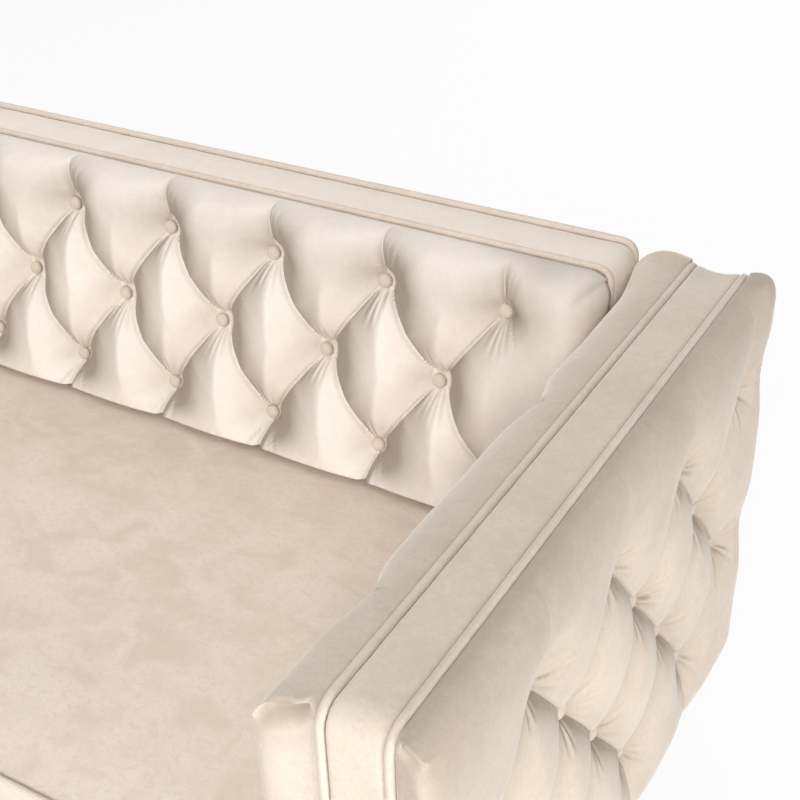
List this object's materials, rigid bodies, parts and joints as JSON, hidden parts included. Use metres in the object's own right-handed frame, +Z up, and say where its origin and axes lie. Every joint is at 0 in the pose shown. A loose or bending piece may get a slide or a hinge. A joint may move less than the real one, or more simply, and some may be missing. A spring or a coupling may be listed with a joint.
{
  "type": "sofa",
  "caption": "Straight-armed velvet sofa with a deep-buttoned back, tufted arms edged in piping, a loose bench cushion and short turned legs.",
  "frame": {"origin": "on the floor at the middle of the sofa's footprint", "axes": "+X to the right as seen from the front, +Y from the front to the back, +Z up"},
  "size_m": [2.0324, 0.869, 0.7743],
  "materials": {
    "velvet": "cream velvet with a short pile",
    "timber": "sawn softwood",
    "plywood": "plywood",
    "spring_steel": "drawn wire",
    "felt": "pressed felt",
    "lining": "black lining cloth",
    "walnut": "dark stained and lacquered"
  },
  "bodies": {
    "sofa": {"back_board": "plywood", "back_front_piping": "velvet", "back_lower_rail_left": "timber", "back_lower_rail_right": "timber", "back_outside_panel": "velvet", "back_pad": "velvet", "back_post_centre": "timber", "back_post_left": "timber", "back_post_right": "timber", "back_rear_piping": "velvet", "back_top_band": "velvet", "back_top_rail": "timber", "centre_stretcher": "timber", "corner_block_front_left": "timber", "corner_block_front_right": "timber", "corner_block_rear_left": "timber", "corner_block_rear_right": "timber", "deck_pad": "felt", "dust_cover": "lining", "front_border": "velvet", "front_rail": "timber", "left_arm_band": "velvet", "left_arm_front_post": "timber", "left_arm_inner_board": "plywood", "left_arm_inner_pad": "velvet", "left_arm_inner_piping": "velvet", "left_arm_outer_board": "plywood", "left_arm_outer_pad": "velvet", "left_arm_outer_piping": "velvet", "left_arm_rear_post": "timber", "left_arm_top_rail": "timber", "left_side_rail": "timber", "leg_centre": "walnut", "leg_front_left": "walnut", "leg_front_right": "walnut", "leg_rear_left": "walnut", "leg_rear_right": "walnut", "rear_rail": "timber", "right_arm_band": "velvet", "right_arm_front_post": "timber", "right_arm_inner_board": "plywood", "right_arm_inner_pad": "velvet", "right_arm_inner_piping": "velvet", "right_arm_outer_board": "plywood", "right_arm_outer_pad": "velvet", "right_arm_outer_piping": "velvet", "right_arm_rear_post": "timber", "right_arm_top_rail": "timber", "right_side_rail": "timber", "seat_spring_1": "spring_steel", "seat_spring_2": "spring_steel", "seat_spring_3": "spring_steel", "seat_spring_4": "spring_steel", "seat_spring_5": "spring_steel", "seat_spring_6": "spring_steel", "seat_spring_7": "spring_steel", "seat_spring_8": "spring_steel"},
    "cushion": {"seat_cushion": "velvet", "seat_cushion_top_piping": "velvet", "seat_cushion_bottom_piping": "velvet"}
  },
  "joints": [
    {"name": "cushion_lift", "type": "slide", "parent": "sofa", "child": "cushion", "axis": [0, -0.8, 0.6], "range_m": [0, 0.9]}
  ]
}
